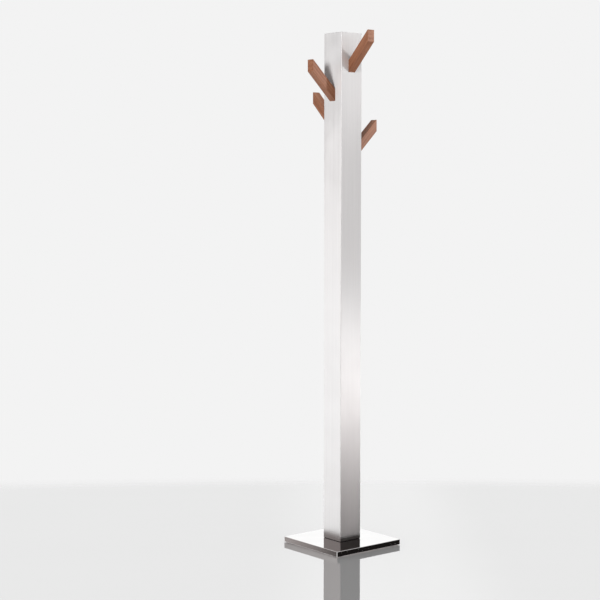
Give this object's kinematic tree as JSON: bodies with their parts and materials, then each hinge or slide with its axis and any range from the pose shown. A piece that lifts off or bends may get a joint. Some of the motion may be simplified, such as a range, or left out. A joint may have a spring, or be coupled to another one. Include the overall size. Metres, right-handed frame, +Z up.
{
  "type": "standing coat rack",
  "caption": "Free-standing coat rack: a square satin steel column on a polished square base plate, with slanting wooden hooks spiralling down its faces.",
  "frame": {"origin": "on the floor, under the centre of the base plate, on the column's axis", "axes": "+Z up along the column; +X, -Y, -X and +Y are the outward normals of the column's four faces, which carry the hooks from the highest to the lowest"},
  "size_m": [0.28, 0.28, 1.7216],
  "materials": {
    "polished_steel": "mirror-polished stainless steel",
    "satin_steel": "satin stainless steel with a fine upright grain",
    "hook_wood": "reddish brown hardwood with an oiled satin finish",
    "black_rubber": "matt black rubber",
    "plated_steel": "zinc-plated mild steel, out of sight"
  },
  "bodies": {
    "root": {"backing_plate_back": "plated_steel", "backing_plate_front": "plated_steel", "backing_plate_left": "plated_steel", "backing_plate_right": "plated_steel", "base_plate": "polished_steel", "base_screws": "plated_steel", "column_tube": "satin_steel", "floor_pad_back_left": "black_rubber", "floor_pad_back_right": "black_rubber", "floor_pad_front_left": "black_rubber", "floor_pad_front_right": "black_rubber", "foot_gasket": "black_rubber", "foot_plate": "plated_steel", "hook_back": "hook_wood", "hook_front": "hook_wood", "hook_left": "hook_wood", "hook_nuts": "plated_steel", "hook_right": "hook_wood", "hook_studs": "plated_steel", "hook_washers": "plated_steel", "locating_pins": "plated_steel", "top_cap": "satin_steel"}
  },
  "joints": []
}
